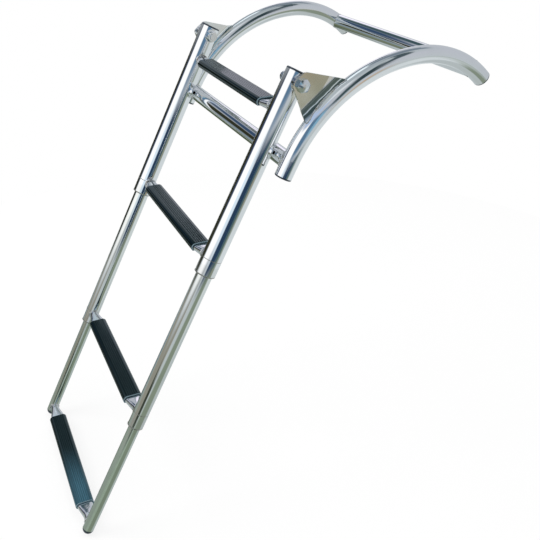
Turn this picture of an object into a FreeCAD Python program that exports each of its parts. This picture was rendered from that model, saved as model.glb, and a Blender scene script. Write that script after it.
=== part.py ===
"""Telescopic boat ladder: two bent arms that hook over a gunwale, and a hinged ladder in three
telescoping sections with four flattened-tube steps.

Millimetres, +Z up, the steps level. X runs across the ladder and +Y points inboard. The origin is
midway between the arms, under the crown of their bends, where the ladder rests on the gunwale.

The pieces are laid out in the rail frame: its z axis runs up along the rails, its zero is at the
top of the rails in the plane of their axes, and its y axis points from the rails to the arms.
That frame is then leaned by lean_angle about X, which makes the steps level.
"""
import FreeCAD
import Part
import Sketcher
import math
import os
import re

from FreeCAD import Placement, Rotation, Vector

doc = FreeCAD.newDocument("BoatLadder")
sheet = doc.addObject("Spreadsheet::Sheet", "Dimensions")

# Driving dimensions: alias, value in millimetres or degrees, meaning
DRIVING = [
    ("lean_angle", 27.5, "lean of the rails from the vertical with the steps level"),
    ("rail_spacing", 325.0, "between the rail axes"),
    ("arm_spacing", 395.0, "between the arm axes"),
    ("running_fit", 0.08, "radial clearance of a sliding or turning fit"),
    ("rest_gap", 0.3, "gap between curved faces that bear on each other"),
    ("stop_gap", 0.3, "gap between the end stops in full extension"),
    ("arm_diameter", 25.4, "outside diameter of arms and cross tubes"),
    ("arm_wall", 1.5, "wall of arms and cross tubes"),
    ("arm_leg_length", 25.0, "straight lower end of an arm"),
    ("arm_leg_foot", 137.0, "lower end of an arm below the rail tops"),
    ("arch_radius", 230.0, "centreline radius of the long bend"),
    ("arch_angle", 60.5, "turn of the long bend"),
    ("tip_radius", 168.0, "centreline radius of the tip bend"),
    ("tip_angle", 45.0, "turn of the tip bend"),
    ("lower_tube_rise", 21.5, "lower cross tube above the lower end of the arms"),
    ("setback_angle", 8.5, "turn of the tip bend beyond the upper cross tube"),
    ("end_cap_thickness", 2.5, "end cap outside the tube"),
    ("end_cap_edge", 2.0, "rounded edge of an end cap"),
    ("cap_spigot_depth", 6.0, "end cap inside the tube"),
    ("cap_spigot_wall", 1.5, "wall of that spigot"),
    ("upper_rail_diameter", 32.0, "outside diameter of the upper rails"),
    ("middle_rail_diameter", 25.4, "outside diameter of the middle rails"),
    ("lower_rail_diameter", 19.0, "outside diameter of the lower rails"),
    ("rail_wall", 1.5, "wall of every rail"),
    ("upper_rail_length", 302.0, "upper rail without its collar"),
    ("collar_length", 17.0, "collar outside the tube"),
    ("collar_edge", 2.0, "rounded lower edge of a collar"),
    ("collar_spigot", 10.0, "collar inside the tube"),
    ("glide_length", 20.0, "glide bush on the head of a sliding rail"),
    ("middle_reach", 262.0, "middle rail seen between the collars"),
    ("lower_reach", 219.0, "lower rail seen below the middle collar"),
    ("pivot_gap", 1.5, "pivot bolt below the spigot of the top cap"),
    ("pivot_diameter", 10.0, "shank of the pivot bolt"),
    ("pivot_head_height", 7.5, "height of the crowned hexagon head"),
    ("crown_radius", 20.0, "crown of the bolt head and the lock nut"),
    ("pivot_end", 1.5, "bolt end beyond the lock nut"),
    ("spacer_diameter", 24.0, "spacer between bracket and rail"),
    ("spacer_length", 8.0, "length of that spacer"),
    ("washer_diameter", 21.0, "washer between nut and rail"),
    ("washer_thickness", 1.2, "thickness of that washer"),
    ("nut_flats", 17.0, "across the flats of the bolt head and the lock nut"),
    ("nut_height", 6.0, "hexagon of the lock nut"),
    ("nut_collar_height", 3.0, "round collar of the lock nut"),
    ("nut_collar_inset", 1.0, "collar inside the flats"),
    ("bracket_thickness", 3.0, "plate of the pivot brackets"),
    ("bracket_bend", 1.5, "inner radius of the bend"),
    ("bracket_nose", 11.2, "narrow edge of the plate beyond the pivot"),
    ("nose_drop", 10.2, "lower end of that edge below the pivot"),
    ("nose_rise", 13.6, "upper end of that edge above the pivot"),
    ("nose_round", 6.5, "rounded corners of that edge"),
    ("bracket_lean_angle", 24.5, "lean of the bend line from the rails"),
    ("bracket_reach", 24.4, "bend line from the pivot"),
    ("bracket_drop", 21.0, "lower end of the bend line below the pivot"),
    ("bracket_rise", 41.0, "upper end of the bend line above the pivot"),
    ("bracket_low_flare", 15.0, "fall of the flange's lower edge over another reach"),
    ("bracket_high_flare", 22.0, "rise of the flange's upper edge over another reach"),
    ("flange_width", 18.0, "bent flange before it is coped to the arm"),
    ("step_one_drop", 58.0, "first step below the rail tops"),
    ("step_two_lift", 8.0, "second step above the top of the upper collar"),
    ("step_three_lift", 4.0, "third step above the top of the middle collar"),
    ("foot_lift", 20.0, "fourth step above the foot ends"),
    ("step_width", 26.0, "flattened tube of a step, front to back"),
    ("step_height", 9.5, "flattened tube of a step, top to bottom"),
    ("step_wall", 1.5, "wall of a step tube"),
    ("step_end_diameter", 16.0, "round end of a step tube"),
    ("step_flat_length", 244.0, "flattened length of a step"),
    ("step_taper_length", 23.0, "taper from the flat to the round end"),
    ("tread_length", 240.0, "rubber tread along the step"),
    ("tread_thickness", 2.6, "rubber over the flattened tube"),
    ("tread_lip", 4.4, "tread lips below the middle of the step"),
    ("groove_count", 7, "grooves of a tread"),
    ("groove_pitch", 2.4, "between the grooves of a tread"),
    ("groove_width", 1.0, "width of a groove"),
    ("groove_depth", 0.9, "depth of a groove"),
]

# Derived dimensions: alias and formula on the aliases above it
DERIVED = [
    ("arm_radius", "arm_diameter / 2"),
    ("arm_bore", "arm_radius - arm_wall"),
    ("upper_radius", "upper_rail_diameter / 2"),
    ("middle_radius", "middle_rail_diameter / 2"),
    ("lower_radius", "lower_rail_diameter / 2"),
    ("upper_bore", "upper_radius - rail_wall"),
    ("middle_bore", "middle_radius - rail_wall"),
    ("lower_bore", "lower_radius - rail_wall"),
    ("rail_x", "rail_spacing / 2"),
    ("arm_x", "arm_spacing / 2"),
    ("arm_y", "upper_radius + arm_radius + rest_gap"),
    ("arm_leg_top", "arm_leg_length - arm_leg_foot"),
    ("lower_tube_z", "lower_tube_rise - arm_leg_foot"),
    ("arch_centre_y", "arm_y + arch_radius"),
    ("arch_end_y", "arch_centre_y - arch_radius * cos(arch_angle)"),
    ("arch_end_z", "arm_leg_top + arch_radius * sin(arch_angle)"),
    ("tip_centre_y", "arch_end_y + tip_radius * cos(arch_angle)"),
    ("tip_centre_z", "arch_end_z - tip_radius * sin(arch_angle)"),
    ("tip_turn", "arch_angle + tip_angle"),
    ("tip_y", "tip_centre_y - tip_radius * cos(tip_turn)"),
    ("tip_z", "tip_centre_z + tip_radius * sin(tip_turn)"),
    ("upper_tube_turn", "tip_turn - setback_angle"),
    ("upper_tube_y", "tip_centre_y - tip_radius * cos(upper_tube_turn)"),
    ("upper_tube_z", "tip_centre_z + tip_radius * sin(upper_tube_turn)"),
    ("crown_turn", "90 - lean_angle"),
    ("saddle_y", "tip_centre_y - (tip_radius - arm_radius) * cos(crown_turn)"),
    ("saddle_z", "tip_centre_z + (tip_radius - arm_radius) * sin(crown_turn)"),
    ("upper_head", "-end_cap_thickness"),
    ("upper_collar_top", "-upper_rail_length"),
    ("upper_collar_foot", "upper_collar_top - collar_length"),
    ("middle_collar_top", "upper_collar_foot - middle_reach"),
    ("middle_collar_foot", "middle_collar_top - collar_length"),
    ("foot_end", "middle_collar_foot - lower_reach - lower_radius / 3"),
    ("foot_top", "foot_end + lower_radius"),
    ("middle_glide_foot", "upper_collar_top + collar_spigot + stop_gap"),
    ("lower_glide_foot", "middle_collar_top + collar_spigot + stop_gap"),
    ("middle_head", "middle_glide_foot + glide_length"),
    ("lower_head", "lower_glide_foot + glide_length"),
    ("step_one_z", "-step_one_drop"),
    ("step_two_z", "upper_collar_top + step_two_lift"),
    ("step_three_z", "middle_collar_top + step_three_lift"),
    ("step_four_z", "foot_end + foot_lift"),
    ("pivot_radius", "pivot_diameter / 2"),
    ("pivot_drop", "end_cap_thickness + cap_spigot_depth + pivot_gap + pivot_radius"),
    ("pivot_hole", "pivot_radius + running_fit"),
    ("spacer_x", "rail_x + upper_radius + rest_gap"),
    ("plate_x", "spacer_x + spacer_length"),
    ("head_x", "plate_x + bracket_thickness"),
    ("washer_x", "rail_x - upper_radius - rest_gap"),
    ("nut_x", "washer_x - washer_thickness"),
    ("nut_end", "nut_x - nut_height - nut_collar_height"),
    ("bolt_end", "nut_end - pivot_end"),
    ("nut_corner", "nut_flats / 2 / cos(30)"),
    ("bend_outer", "bracket_bend + bracket_thickness"),
    ("bracket_foot", "bracket_drop + bracket_low_flare"),
    ("bracket_top", "bracket_rise + bracket_high_flare"),
    ("step_bend", "step_height / 2"),
    ("step_straight", "step_width / 2 - step_bend"),
    ("step_flat_end", "step_flat_length / 2"),
    ("step_taper_end", "step_flat_end + step_taper_length"),
    ("step_end_radius", "step_end_diameter / 2"),
    ("tread_bend", "step_bend + tread_thickness"),
    ("groove_first", "groove_pitch * (groove_count - 1) / 2"),
    ("groove_foot", "tread_bend - groove_depth"),
]

ALIASES = {row[0] for row in DRIVING + DERIVED}


def formula(text):
    """A formula on bare aliases, in the form that a property of a piece takes."""
    return re.sub(r"[a-z_]+", lambda word: f"Dimensions.{word[0]}" if word[0] in ALIASES else word[0], text)


def fill_sheet():
    """Write both lists into the spreadsheet, one dimension to a row, and compute the formulas."""
    for row, (alias, value, meaning) in enumerate(DRIVING, start=1):
        sheet.set(f"A{row}", str(value))
        sheet.setAlias(f"A{row}", alias)
        sheet.set(f"B{row}", meaning)
    for row, (alias, text) in enumerate(DERIVED, start=len(DRIVING) + 2):
        sheet.set(f"A{row}", f"={text}")
        sheet.setAlias(f"A{row}", alias)
    doc.recompute()


fill_sheet()


def size(alias):
    """The value of a spreadsheet cell as a plain number."""
    value = sheet.get(alias)
    return float(getattr(value, "Value", value))


def bind(piece, **formulas):
    """Bind properties of a piece to formulas on the spreadsheet's aliases."""
    for name, text in formulas.items():
        piece.setExpression(name, formula(text))
    return piece


def bind_place(piece, **formulas):
    """Bind the x, y or z of a piece's placement."""
    for axis, text in formulas.items():
        piece.setExpression(f"Placement.Base.{axis}", formula(text))
    return piece


# The leaning of the rail frame, with the saddle point under the arms' crown moved to the origin
LEAN = Rotation(Vector(1, 0, 0), -size("lean_angle"))
LEVEL = LEAN.inverted()
HANG = Placement(LEAN.multVec(Vector(0, size("saddle_y"), size("saddle_z"))).negative(), LEAN)
NO_TURN = Rotation()
FACING_RIGHT = Rotation(Vector(0, 1, 0), 90)
FACING_LEFT = Rotation(Vector(0, 1, 0), -90)
UPSIDE_DOWN = Rotation(Vector(1, 0, 0), 180)

SIDES = (("left", -1), ("right", 1))
pieces = []


def rest(piece, label, x=0.0, y=0.0, z=0.0, turn=NO_TURN):
    """Name a finished piece and put it at a place of the rail frame, leaned with the whole ladder."""
    piece.Label = label
    piece.Placement = HANG.multiply(Placement(Vector(x, y, z), turn))
    pieces.append(piece)
    return piece


def boolean(kind, base, tool):
    """One boolean of two shapes: Cut, Fuse or Common."""
    result = doc.addObject(f"Part::{kind}", f"{base.Name}{kind}")
    result.Base = base
    result.Tool = tool
    return result


def rod(radius, height, start="0"):
    """A cylinder on the z axis from a start height, its sizes given as formulas."""
    cylinder = doc.addObject("Part::Cylinder", "Rod")
    bind(cylinder, Radius=radius, Height=height)
    return bind_place(cylinder, z=start)


def tube(outer, bore, height, start="0"):
    """A tube on the z axis, open at both ends."""
    return boolean("Cut", rod(outer, height, start), rod(bore, height, start))


def round_rim(piece, height, radius, rounding):
    """Round the circular edge of a piece that has one radius at one height."""
    doc.recompute()
    picked = []
    for number, edge in enumerate(piece.Shape.Edges, start=1):
        curve = edge.Curve
        if isinstance(curve, Part.Circle) and abs(curve.Radius - radius) < 1e-4:
            if abs(curve.Center.z - height) < 1e-4:
                picked.append((number, rounding, rounding))
    assert picked
    fillet = doc.addObject("Part::Fillet", f"{piece.Name}Rim")
    fillet.Base = piece
    fillet.Edges = picked
    return fillet


def origin_plane(body, role):
    """A body's own origin plane by its role."""
    return next(feature for feature in body.Origin.OriginFeatures if feature.Role == role)


def sketch_on(body, role, name, offset=None):
    """An empty sketch on an origin plane of a body, or at an offset formula along its normal."""
    sketch = body.newObject("Sketcher::SketchObject", name)
    sketch.AttachmentSupport = [(origin_plane(body, role), "")]
    sketch.MapMode = "FlatFace"
    if offset:
        sketch.setExpression("AttachmentOffset.Base.z", formula(offset))
    return sketch


def hold(sketch, kind, *where, value, text):
    """Add a constraint to a sketch and bind it to a formula."""
    index = sketch.addConstraint(Sketcher.Constraint(kind, *where, value))
    sketch.setExpression(f"Constraints[{index}]", formula(text))


def fix_point(sketch, geometry, corner, x, y):
    """Hold a point of a sketch at two formulas from the origin."""
    point = sketch.getPoint(geometry, corner)
    hold(sketch, "DistanceX", geometry, corner, value=point.x, text=x)
    hold(sketch, "DistanceY", geometry, corner, value=point.y, text=y)


def add_arc(sketch, centre, radius, start, finish):
    """An arc that turns anticlockwise between two angles in degrees."""
    circle = Part.Circle(centre, Vector(0, 0, 1), radius)
    return sketch.addGeometry(Part.ArcOfCircle(circle, math.radians(start), math.radians(finish)))


def add_line(sketch, start, finish):
    """A straight line between two points."""
    return sketch.addGeometry(Part.LineSegment(start, finish))


def join(sketch, kind, *ends):
    """Tie each pair of ends, given as geometry and corner, by one kind of constraint."""
    for before, after in zip(ends[::2], ends[1::2]):
        sketch.addConstraint(Sketcher.Constraint(kind, *before, *after))


def fixed_circle(sketch, x, y, radius, start):
    """A circle whose centre and radius follow formulas from a starting size and place."""
    centre, start_radius = start
    circle = sketch.addGeometry(Part.Circle(centre, Vector(0, 0, 1), start_radius))
    fix_point(sketch, circle, 3, x, y)
    hold(sketch, "Radius", circle, value=start_radius, text=radius)


def arm_path(sketch):
    """The centreline of an arm: a straight lower end, the long bend and the tip bend."""
    leg_top = Vector(size("arm_y"), size("arm_leg_top"), 0)
    tip_centre = Vector(size("tip_centre_y"), size("tip_centre_z"), 0)
    joint = 180 - size("arch_angle")
    leg = add_line(sketch, Vector(size("arm_y"), -size("arm_leg_foot"), 0), leg_top)
    arch = add_arc(sketch, leg_top + Vector(size("arch_radius"), 0, 0), size("arch_radius"), joint, 180)
    nose = add_arc(sketch, tip_centre, size("tip_radius"), 180 - size("tip_turn"), joint)
    join(sketch, "Coincident", (leg, 2), (arch, 2), (arch, 1), (nose, 2))
    fix_point(sketch, leg, 1, "arm_y", "-arm_leg_foot")
    fix_point(sketch, leg, 2, "arm_y", "arm_leg_top")
    fix_point(sketch, arch, 3, "arch_centre_y", "arm_leg_top")
    fix_point(sketch, nose, 3, "tip_centre_y", "tip_centre_z")
    hold(sketch, "DistanceX", arch, 1, value=size("arch_end_y"), text="arch_end_y")
    hold(sketch, "DistanceX", nose, 1, value=size("tip_y"), text="tip_y")


def arm_body(name, hollow=True):
    """A bent tube along the arm's centreline in the YZ plane, or the full bar it would be cut from."""
    body = doc.addObject("PartDesign::Body", name)
    path = sketch_on(body, "YZ_Plane", f"{name}Path")
    arm_path(path)
    section = sketch_on(body, "XY_Plane", f"{name}Section", "-arm_leg_foot")
    centre = Vector(0, size("arm_y"), 0)
    fixed_circle(section, "0", "arm_y", "arm_radius", (centre, size("arm_radius")))
    if hollow:
        fixed_circle(section, "0", "arm_y", "arm_bore", (centre, size("arm_bore")))
    doc.recompute()
    pipe = body.newObject("PartDesign::AdditivePipe", f"{name}Pipe")
    pipe.Profile = section
    pipe.Spine = (path, [f"Edge{number}" for number in range(1, 4)])
    return body


def arm_bar(sign):
    """The full round bar of one arm at its place in the rail frame, for coping what meets it."""
    bar = arm_body("ArmBar", hollow=False)
    return bind_place(bar, x=f"{sign} * arm_x")


def make_arms():
    """Both arms, hollow and open-ended."""
    for side, sign in SIDES:
        rest(arm_body(f"{side.title()}Arm"), f"{side}_arm", x=sign * size("arm_x"))


def lying_rod(radius, length, y, z):
    """A cylinder along X, centred on the ladder's middle plane."""
    cylinder = doc.addObject("Part::Cylinder", "LyingRod")
    cylinder.Placement.Rotation = FACING_RIGHT
    bind(cylinder, Radius=radius, Height=length)
    return bind_place(cylinder, x=f"-({length}) / 2", y=y, z=z)


def make_cross_tubes(bars):
    """The two cross tubes, coped onto the inner sides of the arms."""
    for label, y, z in (("lower_cross_tube", "arm_y", "lower_tube_z"),
                        ("upper_cross_tube", "upper_tube_y", "upper_tube_z")):
        coped = boolean("Cut", lying_rod("arm_radius", "arm_spacing", y, z),
                        lying_rod("arm_bore", "arm_spacing", y, z))
        for bar in bars:
            coped = boolean("Cut", coped, bar)
        rest(coped, label)


def end_plug(outer, bore):
    """An end cap: a disc with a rounded rim over a hollow spigot in the tube's bore."""
    spigot = tube(bore, f"{bore} - cap_spigot_wall", "cap_spigot_depth", "-cap_spigot_depth")
    cap = boolean("Fuse", rod(outer, "end_cap_thickness"), spigot)
    return round_rim(cap, size("end_cap_thickness"), size(outer), size("end_cap_edge"))


def make_arm_caps():
    """The caps in both ends of both arms."""
    tip_turn = Rotation(Vector(1, 0, 0), -size("tip_turn"))
    for side, sign in SIDES:
        x = sign * size("arm_x")
        rest(end_plug("arm_radius", "arm_bore"), f"{side}_arm_lower_cap",
             x=x, y=size("arm_y"), z=-size("arm_leg_foot"), turn=UPSIDE_DOWN)
        rest(end_plug("arm_radius", "arm_bore"), f"{side}_arm_tip_cap",
             x=x, y=size("tip_y"), z=size("tip_z"), turn=tip_turn)


def bent_sheet(body, name):
    """Sheet that runs flat from beyond the pivot to the bend line, then turns 45 degrees to the arm."""
    thick, inner, outer = size("bracket_thickness"), size("bracket_bend"), size("bend_outer")
    start, reach, flange = -2 * size("bracket_nose"), size("bracket_reach"), size("flange_width")
    half = math.sqrt(0.5)
    section = sketch_on(body, "XY_Plane", f"{name}Section", "-bracket_foot")
    centre = Vector(outer, reach, 0)
    inner_end = centre + Vector(-inner * half, inner * half, 0)
    outer_end = centre + Vector(-outer * half, outer * half, 0)
    along = Vector(half, half, 0) * flange
    lines = [
        add_line(section, Vector(thick, reach, 0), Vector(thick, start, 0)),
        add_line(section, Vector(thick, start, 0), Vector(0, start, 0)),
        add_line(section, Vector(0, start, 0), Vector(0, reach, 0)),
        add_arc(section, centre, outer, 135, 180),
        add_line(section, outer_end, outer_end + along),
        add_line(section, outer_end + along, inner_end + along),
        add_line(section, inner_end + along, inner_end),
        add_arc(section, centre, inner, 135, 180),
    ]
    near, edge, far, big, out, tip, back, small = lines
    join(section, "Coincident", (near, 2), (edge, 1), (edge, 2), (far, 1), (out, 2), (tip, 1),
         (tip, 2), (back, 1))
    join(section, "Tangent", (far, 2), (big, 2), (big, 1), (out, 1), (back, 2), (small, 1),
         (small, 2), (near, 1))
    join(section, "Coincident", (small, 3), (big, 3))
    section.addConstraint(Sketcher.Constraint("Horizontal", edge))
    section.addConstraint(Sketcher.Constraint("Perpendicular", tip, out))
    section.addConstraint(Sketcher.Constraint("Vertical", far))
    section.addConstraint(Sketcher.Constraint("Vertical", near))
    section.addConstraint(Sketcher.Constraint("Parallel", back, out))
    fix_point(section, far, 1, "0", "-2 * bracket_nose")
    fix_point(section, big, 3, "bend_outer", "bracket_reach")
    hold(section, "Radius", small, value=inner, text="bracket_bend")
    hold(section, "DistanceX", out, 1, out, 2, value=along.x, text="flange_width * cos(45)")
    hold(section, "DistanceY", out, 1, out, 2, value=along.y, text="flange_width * sin(45)")
    doc.recompute()
    pad = body.newObject("PartDesign::Pad", f"{name}Sheet")
    pad.Profile = section
    return bind(pad, Length="bracket_foot + bracket_top")


def bracket_outline(body, name):
    """The side view of a bracket: a narrow edge by the pivot that widens to the bend line."""
    outline = sketch_on(body, "YZ_Plane", f"{name}Outline")
    corners = (
        ("-bracket_nose", "nose_rise"),
        ("-bracket_nose", "-nose_drop"),
        ("bracket_reach", "-bracket_drop"),
        ("bracket_reach * 2", "-bracket_foot"),
        ("bracket_reach * 2", "bracket_top"),
        ("bracket_reach", "bracket_rise"),
    )
    nose, drop, rise = size("bracket_nose"), size("nose_drop"), size("nose_rise")
    reach, low, high = size("bracket_reach"), size("bracket_drop"), size("bracket_rise")
    foot, top = size("bracket_foot"), size("bracket_top")
    points = [Vector(-nose, rise, 0), Vector(-nose, -drop, 0), Vector(reach, -low, 0),
              Vector(2 * reach, -foot, 0), Vector(2 * reach, top, 0), Vector(reach, high, 0)]
    lines = [add_line(outline, a, b) for a, b in zip(points, points[1:] + points[:1])]
    for line, following in zip(lines, lines[1:] + lines[:1]):
        join(outline, "Coincident", (line, 2), (following, 1))
    for line, (y, z) in zip(lines, corners):
        fix_point(outline, line, 1, y, z)
    fixed_circle(outline, "0", "0", "pivot_hole", (Vector(), size("pivot_hole")))
    pad = body.newObject("PartDesign::Pad", f"{name}Slab")
    pad.Profile = outline
    bind(pad, Length="arm_x")
    doc.recompute()
    ends = [f"Edge{number}" for number, edge in enumerate(pad.Shape.Edges, start=1)
            if len(edge.Vertexes) == 2 and edge.Curve.TypeId == "Part::GeomLine"
            and all(abs(vertex.Y + nose) < 1e-4 for vertex in edge.Vertexes)
            and abs(edge.Vertexes[0].X - edge.Vertexes[1].X) > 1]
    assert len(ends) == 2
    fillet = body.newObject("PartDesign::Fillet", f"{name}Nose")
    fillet.Base = (pad, ends)
    return bind(fillet, Radius="nose_round")


def right_bracket(bar, name):
    """The right-hand bracket in the rail frame: bent sheet, trimmed to its outline, coped to the arm."""
    turn = Rotation(Vector(1, 0, 0), -size("bracket_lean_angle"))
    bodies = []
    for maker, part_name in ((bent_sheet, f"{name}Bent"), (bracket_outline, f"{name}Trim")):
        body = doc.addObject("PartDesign::Body", part_name)
        maker(body, part_name)
        body.Placement.Rotation = turn
        bodies.append(bind_place(body, x="plate_x", z="-pivot_drop"))
    return boolean("Cut", boolean("Common", *bodies), bar)


def make_brackets(right_bar):
    """The bent-plate brackets that carry the pivot bolts, a mirrored pair welded to the arms."""
    rest(right_bracket(right_bar, "Right"), "right_bracket")
    mirrored = doc.addObject("Part::Mirroring", "LeftBracketMirror")
    mirrored.Source = right_bracket(right_bar, "Left")
    mirrored.Normal = Vector(1, 0, 0)
    rest(mirrored, "left_bracket")


def crowned_hexagon(height, start, crown_centre):
    """A hexagon across the nut flats whose free end is crowned by a large ball."""
    hexagon = doc.addObject("Part::Prism", "Hexagon")
    bind(hexagon, Circumradius="nut_corner", Height=height)
    bind_place(hexagon, z=start)
    ball = doc.addObject("Part::Sphere", "Crown")
    bind(ball, Radius="crown_radius")
    bind_place(ball, z=crown_centre)
    return boolean("Common", hexagon, ball)


def make_pivots():
    """The pivot bolts with crowned heads outside the brackets, their spacers, washers and lock nuts."""
    for side, sign in SIDES:
        place = {"z": -size("pivot_drop"), "turn": FACING_RIGHT if sign > 0 else FACING_LEFT}
        head = crowned_hexagon("pivot_head_height", "head_x", "head_x + pivot_head_height - crown_radius")
        shank = rod("pivot_radius", "head_x - bolt_end", "bolt_end")
        rest(boolean("Fuse", head, shank), f"{side}_pivot_bolt", **place)
        hexagon = crowned_hexagon("nut_height", "nut_x - nut_height", "nut_x - nut_height + crown_radius")
        collar = rod("nut_flats / 2 - nut_collar_inset", "nut_collar_height + 1", "nut_end")
        nut = boolean("Fuse", hexagon, collar)
        nut = boolean("Cut", nut, rod("pivot_radius", "nut_x - nut_end", "nut_end"))
        rest(nut, f"{side}_pivot_nut", **place)
        rest(tube("washer_diameter / 2", "pivot_radius", "washer_thickness", "nut_x"),
             f"{side}_pivot_washer", **place)
        rest(tube("spacer_diameter / 2", "pivot_radius", "spacer_length", "spacer_x"),
             f"{side}_pivot_spacer", **place)


def make_upper_rails():
    """The upper rails, bored across for the pivot bolts, with flat top caps."""
    for side, sign in SIDES:
        x = sign * size("rail_x")
        rail = tube("upper_radius", "upper_bore", "upper_head - upper_collar_top", "upper_collar_top")
        hole = lying_rod("pivot_hole", "upper_rail_diameter * 2", "0", "-pivot_drop")
        rest(boolean("Cut", rail, hole), f"{side}_upper_rail", x=x)
        rest(end_plug("upper_radius", "upper_bore"), f"{side}_rail_top_cap", x=x, z=size("upper_head"))


def collar(outer, seat, slider):
    """A collar for the foot of a rail: a ring with a rounded lower edge and a spigot in the tube."""
    body = boolean("Fuse", rod(outer, "collar_length", "-collar_length"), rod(seat, "collar_spigot"))
    bore = rod(f"{slider} + running_fit", "collar_length + collar_spigot", "-collar_length")
    return round_rim(boolean("Cut", body, bore), -size("collar_length"), size(outer), size("collar_edge"))


def make_collars():
    """The four collars in which the middle and lower rails slide."""
    for side, sign in SIDES:
        x = sign * size("rail_x")
        rest(collar("upper_radius", "upper_bore", "middle_radius"), f"{side}_upper_collar",
             x=x, z=size("upper_collar_top"))
        rest(collar("middle_radius", "middle_bore", "lower_radius"), f"{side}_middle_collar",
             x=x, z=size("middle_collar_top"))


def half_ball(radius):
    """The lower half of a ball about the origin."""
    ball = doc.addObject("Part::Sphere", "HalfBall")
    return bind(ball, Radius=radius, Angle2="0")


def foot_cap():
    """A domed shell for the foot of a lower rail, with a hollow spigot up the tube's bore."""
    inner = "lower_bore - cap_spigot_wall"
    body = boolean("Fuse", half_ball("lower_radius"), rod("lower_bore", "cap_spigot_depth"))
    return boolean("Cut", boolean("Cut", body, half_ball(inner)), rod(inner, "cap_spigot_depth"))


def make_sliding_rails():
    """The middle and lower rails, with a glide bush on each head and a domed cap in each foot."""
    for side, sign in SIDES:
        x = sign * size("rail_x")
        rest(tube("middle_radius", "middle_bore", "middle_head - middle_collar_top", "middle_collar_top"),
             f"{side}_middle_rail", x=x)
        rest(tube("upper_bore - running_fit", "middle_radius", "glide_length", "middle_glide_foot"),
             f"{side}_middle_glide", x=x)
        rest(tube("lower_radius", "lower_bore", "lower_head - foot_top", "foot_top"),
             f"{side}_lower_rail", x=x)
        rest(tube("middle_bore - running_fit", "lower_radius", "glide_length", "lower_glide_foot"),
             f"{side}_lower_glide", x=x)
        rest(foot_cap(), f"{side}_foot_cap", x=x, z=size("foot_top"))


def flat_section(sketch, shrink):
    """The flattened tube: two flats joined by two half rounds, shrunk by a formula for the bore."""
    half, bend = size("step_straight"), size("step_bend")
    top = add_line(sketch, Vector(half, bend, 0), Vector(-half, bend, 0))
    front = add_arc(sketch, Vector(-half, 0, 0), bend, 90, 270)
    foot = add_line(sketch, Vector(-half, -bend, 0), Vector(half, -bend, 0))
    back = add_arc(sketch, Vector(half, 0, 0), bend, -90, 90)
    join(sketch, "Tangent", (top, 2), (front, 1), (front, 2), (foot, 1), (foot, 2), (back, 1),
         (back, 2), (top, 1))
    fix_point(sketch, front, 3, "-step_straight", "0")
    fix_point(sketch, back, 3, "step_straight", "0")
    hold(sketch, "Radius", front, value=bend, text=f"step_bend - {shrink}")
    sketch.addConstraint(Sketcher.Constraint("Equal", front, back))


def round_section(sketch, shrink):
    """The round end as four arcs that meet where the flats and half rounds of the step meet."""
    radius = size("step_end_radius")
    turns = ((60, 120), (120, 240), (240, 300), (300, 420))
    arcs = [add_arc(sketch, Vector(), radius, start, finish) for start, finish in turns]
    for arc, following, (start, finish) in zip(arcs, arcs[1:] + arcs[:1], turns):
        join(sketch, "Coincident", (arc, 2), (following, 1), (arc, 3), (-1, 1))
        hold(sketch, "DistanceX", arc, 1, value=radius * math.cos(math.radians(start)),
             text=f"(step_end_radius - {shrink}) * cos({start})")
    hold(sketch, "Radius", arcs[0], value=radius, text=f"step_end_radius - {shrink}")


def loft_sections(body, name, shrink):
    """Round, round, flat, flat, round and round sections from one rail axis to the other."""
    stations = (("rail_x", round_section), ("step_taper_end", round_section), ("step_flat_end", flat_section))
    whole = [(f"-{place}", shape) for place, shape in stations]
    whole += [(place, shape) for place, shape in reversed(stations)]
    sections = []
    for number, (place, shape) in enumerate(whole):
        section = sketch_on(body, "YZ_Plane", f"{name}Section{number}", place)
        shape(section, shrink)
        sections.append(section)
    doc.recompute()
    return sections


def step_bar(name, rail_radius):
    """A tube flattened over its middle, tapered to round ends that are coped onto the rails."""
    body = doc.addObject("PartDesign::Body", name)
    outside = loft_sections(body, f"{name}Outer", "0")
    skin = body.newObject("PartDesign::AdditiveLoft", f"{name}Skin")
    skin.Profile = outside[0]
    skin.Sections = outside[1:]
    skin.Ruled = True
    inside = loft_sections(body, f"{name}Inner", "step_wall")
    hollow = body.newObject("PartDesign::SubtractiveLoft", f"{name}Hollow")
    hollow.Profile = inside[0]
    hollow.Sections = inside[1:]
    hollow.Ruled = True
    doc.recompute()
    coped = body
    for side, sign in SIDES:
        rail = doc.addObject("Part::Cylinder", "RailRod")
        bind(rail, Radius=rail_radius, Height="upper_rail_diameter * 4")
        start = LEAN.multVec(Vector(0, 0, -2 * size("upper_rail_diameter")))
        rail.Placement = Placement(start + Vector(sign * size("rail_x"), 0, 0), LEAN)
        coped = boolean("Cut", coped, rail)
    return coped


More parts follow.
